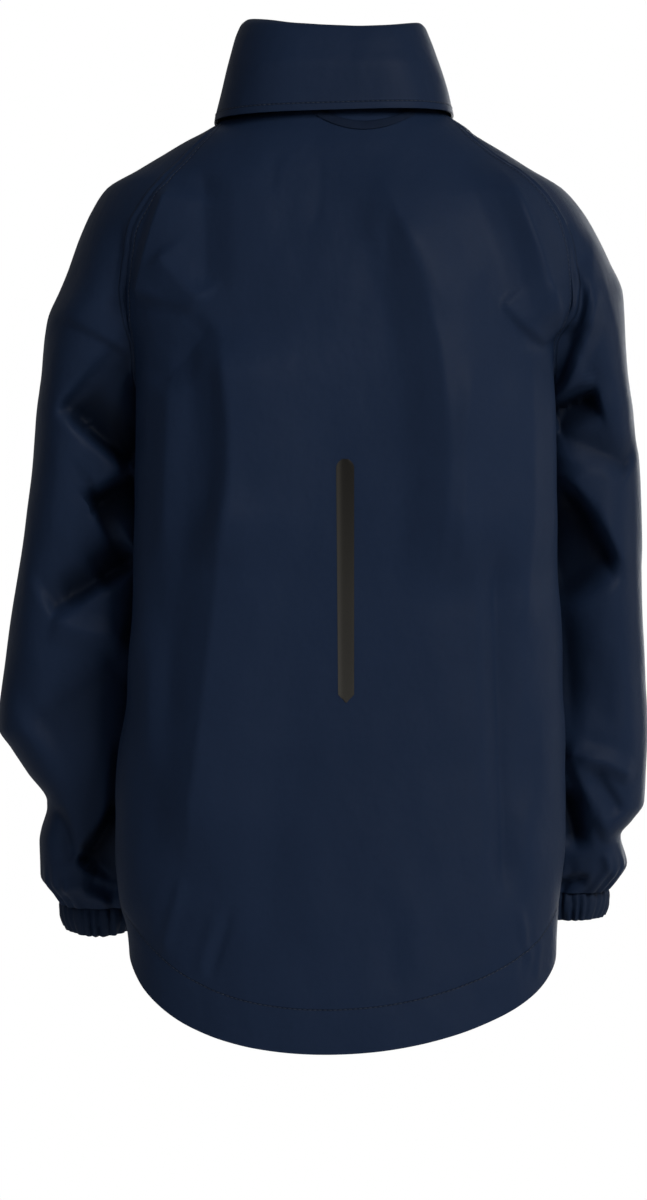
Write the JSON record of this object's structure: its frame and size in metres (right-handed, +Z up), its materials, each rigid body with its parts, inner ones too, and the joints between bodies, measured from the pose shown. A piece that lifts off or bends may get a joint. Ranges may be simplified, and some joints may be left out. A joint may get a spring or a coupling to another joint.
{
  "type": "child's raincoat",
  "caption": "Child's hip-length raincoat in its hollow worn shape, with raglan sleeves, gathered cuffs, a tall turned-down collar, a front zip and a dropped back hem.",
  "frame": {"origin": "middle of the neck opening, at the height where the coat hangs on the shoulders", "axes": "+Z up; the front with the zip faces -Y and the back faces +Y; the coat's left side is +X"},
  "size_m": [0.4588, 0.2455, 0.708],
  "materials": {
    "navy_body": "coated plain weave, matte with a faint sheen",
    "navy_sleeve": "coated plain weave, matte with a faint sheen",
    "navy_collar": "coated plain weave, matte with a faint sheen",
    "navy_trim": "matte woven elastic and tape",
    "reflective_grey": "bonded reflective film, satin",
    "zip_tape_navy": "matte woven tape",
    "zip_metal": "dark satin"
  },
  "bodies": {
    "coat": {"back_panel": "navy_body", "front_left": "navy_body", "front_right": "navy_body", "sleeve_left": "navy_sleeve", "sleeve_right": "navy_sleeve", "cuff_left": "navy_trim", "cuff_right": "navy_trim", "collar": "navy_collar", "reflective_strip": "reflective_grey", "hanger_loop": "navy_trim", "zip_tape": "zip_tape_navy", "zip_chain": "zip_metal", "zip_box": "zip_metal", "zip_slider": "zip_metal"},
    "pull_tab": {"zip_pull_tab": "zip_metal"}
  },
  "joints": [
    {"name": "pull_tab_hinge", "type": "hinge", "parent": "coat", "child": "pull_tab", "pos_m": [0, -0.0651, 0.035], "axis": [-1, 0, 0], "range_deg": [0, 150]}
  ]
}
